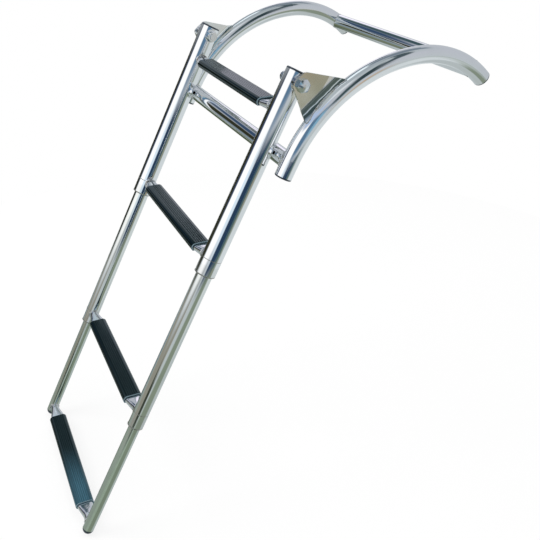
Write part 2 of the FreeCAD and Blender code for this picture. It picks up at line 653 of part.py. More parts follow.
def tread_section(sketch):
    """The rubber's section: the flattened tube grown by the rubber's thickness, open underneath."""
    half, inner, outer, lip = (size(name) for name in ("step_straight", "step_bend", "tread_bend", "tread_lip"))
    inner_turn, outer_turn = (math.degrees(math.asin(lip / radius)) for radius in (inner, outer))
    left, right = Vector(-half, 0, 0), Vector(half, 0, 0)
    crown = add_line(sketch, Vector(half, outer, 0), Vector(-half, outer, 0))
    front = add_arc(sketch, left, outer, 90, 180 + outer_turn)
    front_lip = add_line(sketch, sketch.getPoint(front, 2), Vector(-half - 1, -lip, 0))
    front_seat = add_arc(sketch, left, inner, 90, 180 + inner_turn)
    seat = add_line(sketch, Vector(-half, inner, 0), Vector(half, inner, 0))
    back_seat = add_arc(sketch, right, inner, -inner_turn, 90)
    back_lip = add_line(sketch, sketch.getPoint(back_seat, 1), Vector(half + 5, -lip, 0))
    back = add_arc(sketch, right, outer, -outer_turn, 90)
    join(sketch, "Tangent", (crown, 2), (front, 1), (front_seat, 1), (seat, 1), (seat, 2), (back_seat, 2),
         (back, 2), (crown, 1))
    join(sketch, "Coincident", (front, 2), (front_lip, 1), (front_lip, 2), (front_seat, 2),
         (back_seat, 1), (back_lip, 1), (back_lip, 2), (back, 1), (front, 3), (front_seat, 3),
         (back, 3), (back_seat, 3))
    fix_point(sketch, front, 3, "-step_straight", "0")
    fix_point(sketch, back, 3, "step_straight", "0")
    hold(sketch, "Radius", front, value=outer, text="tread_bend")
    hold(sketch, "Radius", front_seat, value=inner, text="step_bend")
    sketch.addConstraint(Sketcher.Constraint("Equal", front, back))
    sketch.addConstraint(Sketcher.Constraint("Equal", front_seat, back_seat))
    for lip_point in ((front, 2), (front_seat, 2), (back_seat, 1), (back, 1)):
        hold(sketch, "DistanceY", *lip_point, value=-lip, text="-tread_lip")


def first_groove(sketch):
    """A rectangle that opens one groove in the top of the tread, at its front edge."""
    left, right = -size("groove_first") - size("groove_width") / 2, -size("groove_first") + size("groove_width") / 2
    low, high = size("groove_foot"), size("tread_bend") + 1
    corners = [Vector(left, low, 0), Vector(right, low, 0), Vector(right, high, 0), Vector(left, high, 0)]
    lines = [add_line(sketch, a, b) for a, b in zip(corners, corners[1:] + corners[:1])]
    for line, following in zip(lines, lines[1:] + lines[:1]):
        join(sketch, "Coincident", (line, 2), (following, 1))
    for line, direction in zip(lines, ("Horizontal", "Vertical", "Horizontal", "Vertical")):
        sketch.addConstraint(Sketcher.Constraint(direction, line))
    fix_point(sketch, lines[0], 1, "-groove_first - groove_width / 2", "groove_foot")
    fix_point(sketch, lines[2], 1, "-groove_first + groove_width / 2", "tread_bend + 1")


def step_tread(name):
    """The ribbed rubber tread that wraps the top and both edges of a step."""
    body = doc.addObject("PartDesign::Body", name)
    section = sketch_on(body, "YZ_Plane", f"{name}Section", "-tread_length / 2")
    tread_section(section)
    pad = body.newObject("PartDesign::Pad", f"{name}Pad")
    pad.Profile = section
    bind(pad, Length="tread_length")
    groove_sketch = sketch_on(body, "YZ_Plane", f"{name}GrooveSection", "tread_length / 2")
    first_groove(groove_sketch)
    doc.recompute()
    groove = body.newObject("PartDesign::Pocket", f"{name}Groove")
    groove.Profile = groove_sketch
    bind(groove, Length="tread_length")
    doc.recompute()
    assert groove.Shape.Volume < pad.Shape.Volume - 1
    ribs = body.newObject("PartDesign::LinearPattern", f"{name}Ribs")
    ribs.Originals = [groove]
    ribs.Direction = (groove_sketch, ["H_Axis"])
    bind(ribs, Length="groove_first * 2", Occurrences="groove_count")
    body.Tip = ribs
    return body


def make_steps():
    """The four steps, level when the ladder leans, each a flattened bar and its tread."""
    steps = (("one", "upper_radius"), ("two", "upper_radius"), ("three", "middle_radius"), ("four", "lower_radius"))
    for number, rail_radius in steps:
        z = size(f"step_{number}_z")
        rest(step_bar(f"Step{number.title()}Bar", rail_radius), f"step_{number}_bar", z=z, turn=LEVEL)
        rest(step_tread(f"Step{number.title()}Tread"), f"step_{number}_tread", z=z, turn=LEVEL)


def check_and_export():
    """Recompute, check every object and write each finished piece to its own file."""
    doc.recompute()
    faulty = [thing.Label for thing in doc.Objects if {"Invalid", "Error"} & set(thing.State)]
    assert not faulty, faulty
    loose = [thing.Label for thing in doc.findObjects("Sketcher::SketchObject") if not thing.FullyConstrained]
    assert not loose, loose
    os.makedirs("parts", exist_ok=True)
    total = 0
    for piece in pieces:
        shape = piece.Shape
        assert not shape.isNull() and shape.isValid(), piece.Label
        assert len(shape.Solids) == 1, f"{piece.Label} has {len(shape.Solids)} solids"
        facets = len(shape.tessellate(0.1)[1])
        total += facets
        box = shape.BoundBox
        print(f"{piece.Label:20s} {shape.Volume / 1000:8.2f} cm3 {facets:5d} facets  "
              f"x {box.XMin:7.1f} {box.XMax:7.1f}  y {box.YMin:7.1f} {box.YMax:7.1f}  z {box.ZMin:7.1f} {box.ZMax:7.1f}")
        shape.exportStep(f"parts/{piece.Label}.step")
    print(f"{len(pieces)} pieces, {total} facets")


arm_bars = [arm_bar(sign) for side, sign in SIDES]
make_arms()
make_cross_tubes(arm_bars)
make_arm_caps()
make_brackets(arm_bars[1])
make_pivots()
make_upper_rails()
make_collars()
make_sliding_rails()
make_steps()
check_and_export()
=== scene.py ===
"""A telescoping boarding ladder for a boat's gunwale: finishes, ribbed treads, weld beads, rims and studio.

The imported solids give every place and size. Lengths are in metres, +Z is up and the ladder hangs towards -Y.
"""
import logging
import math
from dataclasses import dataclass, replace
from enum import Enum

import bpy
import numpy as np
from mathutils import Matrix, Vector


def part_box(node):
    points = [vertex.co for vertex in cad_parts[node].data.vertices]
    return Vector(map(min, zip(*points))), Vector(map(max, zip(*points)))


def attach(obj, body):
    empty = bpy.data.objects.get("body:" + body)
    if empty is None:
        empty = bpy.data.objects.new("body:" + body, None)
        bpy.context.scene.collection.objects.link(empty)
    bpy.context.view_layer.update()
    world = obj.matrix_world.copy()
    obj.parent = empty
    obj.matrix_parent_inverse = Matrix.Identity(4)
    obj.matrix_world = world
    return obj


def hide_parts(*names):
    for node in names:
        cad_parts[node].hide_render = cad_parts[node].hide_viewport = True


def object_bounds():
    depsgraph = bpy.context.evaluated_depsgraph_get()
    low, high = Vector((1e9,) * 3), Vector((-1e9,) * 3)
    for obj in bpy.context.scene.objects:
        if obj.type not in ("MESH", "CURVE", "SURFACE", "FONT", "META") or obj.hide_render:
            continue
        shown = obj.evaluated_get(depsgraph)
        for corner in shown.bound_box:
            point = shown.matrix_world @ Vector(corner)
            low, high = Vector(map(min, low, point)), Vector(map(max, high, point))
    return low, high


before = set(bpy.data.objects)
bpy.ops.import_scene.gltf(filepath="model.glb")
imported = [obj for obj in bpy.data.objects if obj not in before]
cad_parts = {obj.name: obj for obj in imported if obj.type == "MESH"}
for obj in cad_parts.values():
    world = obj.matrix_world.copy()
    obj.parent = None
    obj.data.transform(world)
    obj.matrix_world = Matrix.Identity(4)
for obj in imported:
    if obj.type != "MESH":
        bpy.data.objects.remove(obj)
CAD_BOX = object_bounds()

LOG = logging.getLogger("ladder")
MM = 0.001
LEAN = math.radians(27.5)  # the rails' lean from the vertical
FOLD_LEAN = math.radians(52.0)  # the same of the line that the brackets are bent along
FULL_TURN = 2 * math.pi
HAIR = 1e-6  # metres within which two vertices count as equally far out


class Slot(Enum):
    """The record's material slots."""

    TUBE = "polished_tube"
    COLLAR = "collar_steel"
    BRACKET = "bracket_steel"
    BOLT = "bolt_steel"
    PLASTIC = "guide_plastic"
    RUBBER = "tread_rubber"


class Side(Enum):
    """The two sides of the ladder, with the sign of X on each."""

    LEFT = -1
    RIGHT = 1

    @property
    def word(self) -> str:
        """The side's name as the nodes spell it."""
        return self.name.lower()


class Signal:
    """One value in a shader; arithmetic on it adds Math nodes to its graph."""

    def __init__(self, graph: "Graph", socket: bpy.types.NodeSocket) -> None:
        """Wraps an output socket of a node in that graph."""
        self.graph = graph
        self.socket = socket

    def math(self, operation: str, *terms: "Signal | float") -> "Signal":
        """The result of one Math node.

        Args:
            operation: the Math node's operation.
            terms: its inputs in order.
        Returns:
            The node's output as a new signal.
        """
        return self.graph.add("ShaderNodeMath", {"operation": operation}, dict(enumerate(terms)))

    def __add__(self, other: "Signal | float") -> "Signal":
        """Sum."""
        return self.math("ADD", self, other)

    __radd__ = __add__

    def __sub__(self, other: "Signal | float") -> "Signal":
        """Difference."""
        return self.math("SUBTRACT", self, other)

    def __rsub__(self, other: "Signal | float") -> "Signal":
        """Reflected difference, as in 1 - mask."""
        return self.math("SUBTRACT", other, self)

    def __mul__(self, other: "Signal | float") -> "Signal":
        """Product."""
        return self.math("MULTIPLY", self, other)

    __rmul__ = __mul__

    def __truediv__(self, other: "Signal | float") -> "Signal":
        """Quotient."""
        return self.math("DIVIDE", self, other)

    def __neg__(self) -> "Signal":
        """The value with its sign turned."""
        return self * -1.0

    def step(self, low: float, high: float) -> "Signal":
        """A smooth rise from 0 at low to 1 at high."""
        return self.graph.add("ShaderNodeMapRange", {"interpolation_type": "SMOOTHSTEP"},
                              {"Value": self, "From Min": low, "From Max": high})


class Graph:
    """A node tree that is filled through one method."""

    def __init__(self, tree: bpy.types.NodeTree) -> None:
        """Empties the tree."""
        tree.nodes.clear()
        self.tree = tree

    def add(self, kind: str, settings: dict | None = None, sockets: dict | None = None,
            out: str | int = 0) -> "Signal | None":
        """Adds a node, its settings first and its sockets after them.

        Args:
            kind: the node's type.
            settings: the node's properties by name; "stops" are a ramp's places and colours.
            sockets: values or signals by the socket's name or number.
            out: the output that is handed back.
        Returns:
            That output as a signal, or None for a node without outputs.
        """
        node = self.tree.nodes.new(kind)
        for name, value in (settings or {}).items():
            if name == "stops":
                self._set_stops(node.color_ramp, value)
            else:
                setattr(node, name, value)
        for name, value in (sockets or {}).items():
            if isinstance(value, Signal):
                self.tree.links.new(value.socket, node.inputs[name])
            else:
                node.inputs[name].default_value = value
        return Signal(self, node.outputs[out]) if len(node.outputs) else None

    @staticmethod
    def _set_stops(ramp: bpy.types.ColorRamp, stops: tuple) -> None:
        """Gives a ramp its (place, colour) stops."""
        while len(ramp.elements) < len(stops):
            ramp.elements.new(0.5)
        for element, (place, color) in zip(ramp.elements, stops):
            element.position = place
            element.color = (*color, 1.0)

    def objects_place(self) -> Signal:
        """The point on the surface in Object coordinates."""
        return self.add("ShaderNodeTexCoord", out="Object")

    def noise(self, place: Signal, scale: float, detail: float = 3.0, stretch: tuple = (1, 1, 1),
              turn: float = 0.0) -> Signal:
        """Fractal noise about 0.5.

        Args:
            place: the coordinates.
            scale: the noise's frequency per metre.
            detail: its octaves.
            stretch: the frequency's factors along X, Y and Z.
            turn: the pattern's turn about X in radians.
        Returns:
            The noise value.
        """
        turned = self.add("ShaderNodeMapping", {"vector_type": "POINT"},
                          {"Vector": place, "Rotation": (turn, 0, 0), "Scale": stretch})
        return self.add("ShaderNodeTexNoise", None, {"Vector": turned, "Scale": scale, "Detail": detail})

    def axis(self, place: Signal, letter: str) -> Signal:
        """One coordinate of a point, by its letter."""
        return self.add("ShaderNodeSeparateXYZ", None, {0: place}, letter)

    def dot(self, place: Signal, line: tuple[float, float, float]) -> Signal:
        """How far a point lies along a unit vector."""
        return self.add("ShaderNodeVectorMath", {"operation": "DOT_PRODUCT"}, {0: place, 1: line}, "Value")

    def attribute(self, name: str) -> Signal:
        """A value that the mesh carries, 0 where it has none."""
        return self.add("ShaderNodeAttribute", {"attribute_name": name}, None, "Fac")

    def mix(self, factor: Signal | float, first: "Signal | tuple", second: "Signal | tuple") -> Signal:
        """A blend of two colours, each a signal or three numbers."""
        colors = [c if isinstance(c, Signal) else (*c, 1.0) for c in (first, second)]
        return self.add("ShaderNodeMix", {"data_type": "RGBA"}, {0: factor, 6: colors[0], 7: colors[1]}, 2)

    def bump(self, height: Signal, distance: float, under: "Signal | None" = None) -> Signal:
        """A normal from a height, as a share of a distance in metres, over another bump if one is given."""
        sockets = {"Height": height, "Distance": distance}
        if under is not None:
            sockets["Normal"] = under
        return self.add("ShaderNodeBump", None, sockets)

    def surface(self, **sockets: "Signal | float | tuple") -> None:
        """Ends a material in a Principled shader with these sockets, underscores standing for spaces."""
        shader = self.add("ShaderNodeBsdfPrincipled", None,
                          {name.replace("_", " "): value for name, value in sockets.items()})
        self.add("ShaderNodeOutputMaterial", None, {"Surface": shader})


def display(red: float, green: float, blue: float) -> tuple[float, float, float]:
    """The linear colour that a screen shows with these 8-bit values, by the sRGB curve."""
    shares = np.array([red, green, blue]) / 255
    curve = ((shares + 0.055) / 1.055) ** 2.4
    return tuple(np.where(shares > 0.04045, curve, shares / 12.92).tolist())


def new_material(name: str) -> tuple[bpy.types.Material, Graph]:
    """An empty node material and its graph."""
    material = bpy.data.materials.new(name)
    material.use_nodes = True
    return material, Graph(material.node_tree)


@dataclass(frozen=True)
class SteelFinish:
    """Stainless steel, from a mirror polish to a plain drawn or brushed skin.

    The crown's values are metres along Y; grain_stretch and grain_scale are those of the grain's noise.
    """

    name: str
    slot: Slot
    color: tuple[float, float, float]
    shade: tuple[float, float, float]
    roughness: float
    haze: float
    grain_depth: float
    grain_scale: float = 900.0
    grain_stretch: tuple[float, float, float] = (1.0, 1.0, 0.03)
    crown_middle: float = 0.0
    crown_half: float = 0.0
    crown_rise: float = 0.0

    def build(self) -> bpy.types.Material:
        """Polish clouds tint the colour and the gloss, and fine grain lines along the piece give the bump.

        A finish with a crown also swells by the crown's rise times one minus the square of the distance
        from the crown's middle along Y, over its half width.
        """
        material, graph = new_material(self.name)
        place = graph.objects_place()
        clouds = graph.noise(place, scale=22.0, detail=4.0).step(0.35, 0.7)
        grain = graph.noise(place, self.grain_scale, detail=2.0, stretch=self.grain_stretch, turn=LEAN)
        normal = graph.bump(grain, self.grain_depth)
        if self.crown_half:
            share = (graph.axis(place, "Y") - self.crown_middle) / self.crown_half
            normal = graph.bump(1.0 - share * share, self.crown_rise, normal)
        graph.surface(
            Base_Color=graph.mix(clouds * 0.6 + grain * 0.4, self.color, self.shade),
            Metallic=1.0,
            Roughness=self.roughness + clouds * self.haze + grain * (self.haze * 0.5),
            Normal=normal)
        return material


@dataclass(frozen=True)
class SheetFinish:
    """Pressed stainless sheet: a plate with a painted highlight along its fold and a darker upper part of
    painted shade, and a flange with bands of painted reflections.

    The flange starts fold_place away from the ladder's middle plane and is flange_width wide. The plate's
    upper part starts at upper_place along the fold line, softly over upper_soft to both sides. The plate ends
    at fold_reach across that line, and the pale band lies before it: pale_width wide from pale_taper above
    upper_place on, and narrowing to nothing down to there.
    """

    name: str
    slot: Slot
    plate: tuple[float, float, float]
    worn: tuple[float, float, float]
    upper: tuple[float, float, float]
    bands: tuple[tuple[float, tuple[float, float, float]], ...]
    fold_place: float = 190.2 * MM
    flange_width: float = 12.8 * MM
    fold_reach: float = -75.8 * MM
    pale_width: float = 11.0 * MM
    pale_taper: float = 44.0 * MM
    pale_edge: float = 1.5 * MM
    fold_highlight_color: tuple[float, float, float] = (1.0, 1.0, 0.99)
    upper_place: float = -147.0 * MM
    upper_soft: float = 14.0 * MM

    def build(self) -> bpy.types.Material:
        """The bands follow the distance from the ladder's middle plane, a little wavy along the fold.

        On the plate, how far a point lies along the fold line tells how high it is, and how far it lies
        along the line across the fold tells how near to it.
        """
        material, graph = new_material(self.name)
        place = graph.objects_place()
        sideways = graph.axis(place, "X")
        brushed = graph.noise(place, scale=1100.0, detail=2.0, stretch=(1.0, 1.0, 0.06), turn=-FOLD_LEAN)
        wave = graph.noise(place, scale=120.0, detail=2.0, stretch=(0.1, 0.1, 1.0), turn=-FOLD_LEAN) - 0.5
        clouds = graph.noise(place, scale=45.0).step(0.35, 0.7)
        outward = (sideways.math("ABSOLUTE", sideways) - self.fold_place) / self.flange_width
        # painted reflections: light and dark bands across the flange
        bands = graph.add("ShaderNodeValToRGB", {"stops": self.bands}, {0: outward + wave * 0.16})
        along = graph.dot(place, (0.0, math.sin(FOLD_LEAN), math.cos(FOLD_LEAN)))
        across = graph.dot(place, (0.0, math.cos(FOLD_LEAN), -math.sin(FOLD_LEAN)))
        # painted shade: the plate's upper part is darker
        upper = along.step(self.upper_place - self.upper_soft, self.upper_place + self.upper_soft)
        # painted highlight: a pale band along the fold
        taper = self.pale_width * along.step(self.upper_place, self.upper_place + self.pale_taper)
        near_fold = (across + wave * MM + taper - self.fold_reach).step(0.0, self.pale_edge)
        plain = graph.mix(upper, graph.mix(clouds, self.plate, self.worn), self.upper)
        plate = graph.mix(near_fold * upper, plain, self.fold_highlight_color)
        graph.surface(
            Base_Color=graph.mix(outward.step(-0.02, 0.03), plate, bands),
            Metallic=1.0,
            Roughness=0.08 + brushed * 0.06 + clouds * 0.05,
            Normal=graph.bump(brushed, 0.006 * MM))
        return material


@dataclass(frozen=True)
class WeldFinish:
    """The bright, lightly tinted steel of a weld bead."""

    name: str
    slot: Slot
    color: tuple[float, float, float]
    tint: tuple[float, float, float]

    def build(self) -> bpy.types.Material:
        """Soft heat tints and a fine pitted skin."""
        material, graph = new_material(self.name)
        place = graph.objects_place()
        heat = graph.noise(place, scale=160.0, detail=2.0).step(0.45, 0.7)
        pits = graph.noise(place, scale=1400.0, detail=2.0)
        graph.surface(
            Base_Color=graph.mix(heat, self.color, self.tint),
            Metallic=1.0,
            Roughness=0.16 + pits * 0.16,
            Normal=graph.bump(pits, 0.05 * MM))
        return material


@dataclass(frozen=True)
class MouldedFinish:
    """Rubber or plastic with a fine moulded skin and a soft sheen.

    Beyond cut_place on X its cut ends show a paler colour, a painted highlight, and from a low to a high place
    on X a painted sheen grows over it.
    """

    name: str
    slot: Slot
    color: tuple[float, float, float]
    worn: tuple[float, float, float]
    roughness: float
    skin_depth: float
    specular: float = 0.5
    sheen_tint: tuple[float, float, float] = (1.0, 1.0, 1.0)
    cut_place: float = 1.0
    cut_highlight_color: tuple[float, float, float] = (0.05, 0.05, 0.05)
    ridge_sheen_and_wear_color: tuple[float, float, float] = (0.05, 0.05, 0.05)
    sheen_paint_color: tuple[float, float, float] | None = None
    sheen_low: float = -30.0 * MM
    sheen_high: float = 95.0 * MM

    def build(self) -> bpy.types.Material:
        """Wear clouds and lengthwise scuffs over a pebbled skin; paler cut ends as a painted highlight, paler
        rib backs as wear and painted sheen.

        The pieces' "rim" attribute tells the outer half of a cut end from the inner one, and "ridge" is 1
        on the backs of the ribs. A painted sheen of a reflection shows most there and least in the grooves.
        """
        material, graph = new_material(self.name)
        place = graph.objects_place()
        wear = graph.noise(place, scale=26.0, detail=5.0).step(0.42, 0.78)
        scuffs = graph.noise(place, scale=420.0, stretch=(0.05, 1.0, 1.0)).step(0.5, 0.8)
        skin = graph.noise(place, scale=2600.0, detail=2.0)
        worn = graph.mix(wear * 0.65 + scuffs * 0.35, self.color, self.worn)
        sideways = graph.axis(place, "X")
        reach = sideways.math("ABSOLUTE", sideways)
        # painted highlight: the outer half of each cut end is paler
        cut = reach.step(self.cut_place, self.cut_place + 0.3 * MM) * graph.attribute("rim").step(0.4, 0.6)
        ridge = graph.attribute("ridge")
        # the ribs' backs are paler: partly wear, partly a painted sheen
        body = graph.mix(ridge * (0.45 + wear * 0.55), worn, self.ridge_sheen_and_wear_color)
        # painted sheen: a teal reflection painted over part of the tread
        if self.sheen_paint_color:
            grown = sideways.step(self.sheen_low, self.sheen_high)
            painted_sheen = grown * (0.5 + ridge * 0.5) * (0.7 + scuffs * 0.3)
            body = graph.mix(painted_sheen, body, self.sheen_paint_color)
        graph.surface(
            Base_Color=graph.mix(cut, body, self.cut_highlight_color),
            Roughness=self.roughness + scuffs * 0.08 - wear * 0.04,
            Specular_IOR_Level=self.specular,
            Specular_Tint=(*self.sheen_tint, 1.0),
            Normal=graph.bump(skin + scuffs * 0.4, self.skin_depth))
        return material


Finish = SteelFinish | SheetFinish | WeldFinish | MouldedFinish


class FinishBook:
    """Builds each finish once and puts it on pieces."""

    MIRROR = SteelFinish("mirror_tube_steel", Slot.TUBE, (0.93, 0.94, 0.95), (0.87, 0.88, 0.89),
                         roughness=0.025, haze=0.03, grain_depth=0.003 * MM)
    SATIN = SteelFinish("satin_tube_steel", Slot.TUBE, (0.88, 0.90, 0.88), (0.80, 0.82, 0.80),
                        roughness=0.03, haze=0.04, grain_depth=0.004 * MM)
    # darker and greener than the mirror steel: a painted reflection of the dim floor low down
    DRAWN = SteelFinish("drawn_tube_steel", Slot.TUBE, (0.80, 0.85, 0.80), (0.68, 0.73, 0.68),
                        roughness=0.06, haze=0.06, grain_depth=0.006 * MM)
    BENT = SteelFinish("bent_tube_steel", Slot.TUBE, (0.93, 0.94, 0.95), (0.86, 0.87, 0.88),
                       roughness=0.035, haze=0.04, grain_depth=0.003 * MM,
                       grain_scale=500.0, grain_stretch=(1.0, 1.0, 1.0))
    BAR = SteelFinish("step_bar_steel", Slot.TUBE, (0.88, 0.89, 0.91), (0.74, 0.75, 0.78),
                      roughness=0.05, haze=0.05, grain_depth=0.004 * MM,
                      grain_scale=700.0, grain_stretch=(0.05, 1.0, 1.0))
    COLLAR = SteelFinish("turned_collar_steel", Slot.COLLAR, (0.88, 0.89, 0.89), (0.78, 0.79, 0.78),
                         roughness=0.03, haze=0.04, grain_depth=0.003 * MM,
                         grain_scale=1500.0, grain_stretch=(0.05, 0.05, 1.0))
    # the rims' dark colour is painted shade of the gaps at the collar's ends
    COLLAR_RIM = replace(COLLAR, name="collar_rim_steel", color=(0.44, 0.41, 0.36), shade=(0.34, 0.32, 0.28),
                         roughness=0.20, haze=0.10)
    # its flange bands are painted reflections, its darker upper plate painted shade and its fold band a
    # painted highlight
    SHEET = SheetFinish("pressed_sheet_steel", Slot.BRACKET, plate=(0.86, 0.83, 0.74),
                        worn=(0.78, 0.74, 0.64), upper=(0.61, 0.60, 0.49), bands=(
                            (0.0, display(66, 76, 70)), (0.10, display(120, 128, 118)),
                            (0.22, display(92, 102, 94)), (0.36, display(104, 116, 106)),
                            (0.42, (0.95, 0.97, 0.93)), (0.48, display(84, 98, 92)),
                            (0.66, display(70, 86, 84)), (0.82, display(170, 180, 182)),
                            (1.0, display(220, 226, 228))))
    # a paler copy of the sheet steel for the far bracket: painted light
    PALE_SHEET = SheetFinish("pale_sheet_steel", Slot.BRACKET, plate=(0.97, 0.99, 0.98),
                             worn=(0.93, 0.96, 0.95), upper=(0.97, 0.99, 0.98), bands=(
                                 (0.0, display(236, 242, 240)), (0.5, display(226, 232, 230)),
                                 (1.0, display(236, 242, 240))))
    BOLT = SteelFinish("bright_bolt_steel", Slot.BOLT, (0.84, 0.86, 0.88), (0.74, 0.76, 0.78),
                       roughness=0.15, haze=0.08, grain_depth=0.004 * MM, grain_stretch=(0.1, 1.0, 1.0))
    # a paler copy of the bolt steel for the far pivot: painted light
    PALE_BOLT = replace(BOLT, name="pale_bolt_steel", color=(0.98, 0.99, 1.0), shade=(0.93, 0.95, 0.96))
    WELD = WeldFinish("weld_bead_steel", Slot.TUBE, (0.74, 0.74, 0.73), (0.52, 0.48, 0.42))
    RUBBER = MouldedFinish("tread_rubber", Slot.RUBBER, (0.001, 0.003, 0.003), (0.003, 0.007, 0.008),
                           roughness=0.11, skin_depth=0.002 * MM, specular=0.6,
                           sheen_tint=(0.50, 0.88, 1.0), cut_place=119.1 * MM,
                           cut_highlight_color=(0.20, 0.28, 0.32), ridge_sheen_and_wear_color=(0.002, 0.006, 0.006))
    # the rubber with a teal painted sheen over part of its top
    SHEEN_PAINTED_RUBBER = replace(RUBBER, name="sheen_painted_tread_rubber", sheen_paint_color=(0.060, 0.175, 0.25))
    PLASTIC = MouldedFinish("guide_plastic", Slot.PLASTIC, (0.012, 0.022, 0.034), (0.036, 0.050, 0.068),
                            roughness=0.26, skin_depth=0.006 * MM)

    def __init__(self) -> None:
        """Starts with no material built."""
        self._built: dict[str, bpy.types.Material] = {}

    def dress(self, piece: bpy.types.Object, finish: Finish) -> None:
        """Puts the finish in the piece's own material slots.

        Args:
            piece: a carried-over node or a new piece.
            finish: the finish it gets.
        """
        if finish.name not in self._built:
            self._built[finish.name] = finish.build()
        material = self._built[finish.name]
        if not piece.material_slots:
            piece.data.materials.append(material)
        for slot in piece.material_slots:
            slot.link = "OBJECT"
            slot.material = material


def grid_faces(rows: int, columns: int, wrap_rows: bool = False, wrap_columns: bool = False) -> np.ndarray:
    """Quads of a grid of points numbered row by row, as whole index arrays.

    Args:
        rows: points along the first parameter.
        columns: points along the second parameter.
        wrap_rows: whether the last row joins the first.
        wrap_columns: whether the last column joins the first.
    Returns:
        An array of four point numbers per quad.
    """
    row = np.arange(rows if wrap_rows else rows - 1)[:, None]
    column = np.arange(columns if wrap_columns else columns - 1)[None, :]
    next_row, next_column = (row + 1) % rows, (column + 1) % columns
    corners = [row * columns + column, row * columns + next_column,
               next_row * columns + next_column, next_row * columns + column]
    return np.stack(np.broadcast_arrays(*corners), axis=-1).reshape(-1, 4)


def make_piece(name: str, points: np.ndarray, faces: list[np.ndarray]) -> bpy.types.Object:
    """A smooth-shaded mesh object at the origin whose faces are turned outwards.

    Args:
        name: the piece's name.
        points: its vertices.
        faces: arrays of point numbers per face, one array for each number of corners.
    Returns:
        The new object, linked to the scene.
    """
    mesh = bpy.data.meshes.new(name)
    mesh.from_pydata(points.tolist(), [], [face for block in faces for face in block.tolist()])
    mesh.update()
    if signed_volume(mesh) < 0:
        mesh.flip_normals()
    mesh.polygons.foreach_set("use_smooth", np.full(len(mesh.polygons), True))
    piece = bpy.data.objects.new(name, mesh)
    bpy.context.scene.collection.objects.link(piece)
    return piece


def mesh_points(mesh: bpy.types.Mesh) -> np.ndarray:
    """The vertices of a mesh."""
    points = np.empty(len(mesh.vertices) * 3)
    mesh.vertices.foreach_get("co", points)
    return points.reshape(-1, 3)


def signed_volume(mesh: bpy.types.Mesh) -> float:
    """The volume inside a closed mesh, from the corner tetrahedra of its triangles."""
    mesh.calc_loop_triangles()
    corners = np.empty(len(mesh.loop_triangles) * 3, dtype=np.int64)
    mesh.loop_triangles.foreach_get("vertices", corners)
    a, b, c = mesh_points(mesh)[corners.reshape(-1, 3)].transpose(1, 0, 2)
    return float(np.einsum("ij,ij->i", a, np.cross(b, c)).sum() / 6)


def path_run(path: np.ndarray) -> np.ndarray:
    """How far each point of a path lies from its start, measured along it."""
    return np.concatenate(([0.0], np.cumsum(np.linalg.norm(np.diff(path, axis=0), axis=1))))


def node_points(node: str) -> np.ndarray:
    """The vertices of a carried-over node."""
    return mesh_points(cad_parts[node].data)


def node_middle(node: str) -> np.ndarray:
    """The middle of a node's box."""
    low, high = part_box(node)
    return (np.array(low) + np.array(high)) / 2


@dataclass
class WeldBead:
    """A rippled bead laid in the corner where a tube's cut end meets another tube.

    ripple is the ripples' height as a share of the radius. An open bead's ends are end_radii radii long and
    close down to end_share of the radius.
    """

    name: str
    radius: float
    ripple: float = 0.14
    ripple_pitch: float = 2.2 * MM
    end_radii: float = 1.5
    end_share: float = 0.001
    sides: int = 10

    def along(self, path: np.ndarray, closed: bool) -> bpy.types.Object:
        """Carries a rippled circle along a path.

        Each ring is the path point plus the radius times (cosine of the turn on the path's normal and sine
        of it on its binormal); the radius swells in even ripples along the path, and nearly closes at the
        ends of an open one.

        Args:
            path: the bead's centre line.
            closed: whether its end joins its start.
        Returns:
            The bead.
        """
        ahead = np.roll(path, -1, 0) - np.roll(path, 1, 0) if closed else np.gradient(path, axis=0)
        ahead /= np.linalg.norm(ahead, axis=1, keepdims=True)
        hub = path.mean(0) - path
        normal = hub - np.einsum("ij,ij->i", hub, ahead)[:, None] * ahead
        normal /= np.linalg.norm(normal, axis=1, keepdims=True)
        binormal = np.cross(ahead, normal)
        run = path_run(path)
        ripples = max(3, round(run[-1] / self.ripple_pitch))
        swell = 1 + self.ripple * np.abs(np.sin(np.pi * ripples * run / run[-1]))
        if not closed:
            ends = np.clip(np.minimum(run, run[-1] - run) / (self.radius * self.end_radii), 0, 1)
            swell *= np.sqrt(ends * (2 - ends)) + self.end_share
        turn = np.linspace(0, FULL_TURN, self.sides, endpoint=False)[None, :, None]
        ring = np.cos(turn) * normal[:, None] + np.sin(turn) * binormal[:, None]
        points = path[:, None] + self.radius * swell[:, None, None] * ring
        faces = [grid_faces(len(path), self.sides, closed, True)]
        if not closed:
            faces.append(np.arange(self.sides)[None, ::-1])
            faces.append(((len(path) - 1) * self.sides + np.arange(self.sides))[None, :])
        return make_piece(self.name, points.reshape(-1, 3), faces)


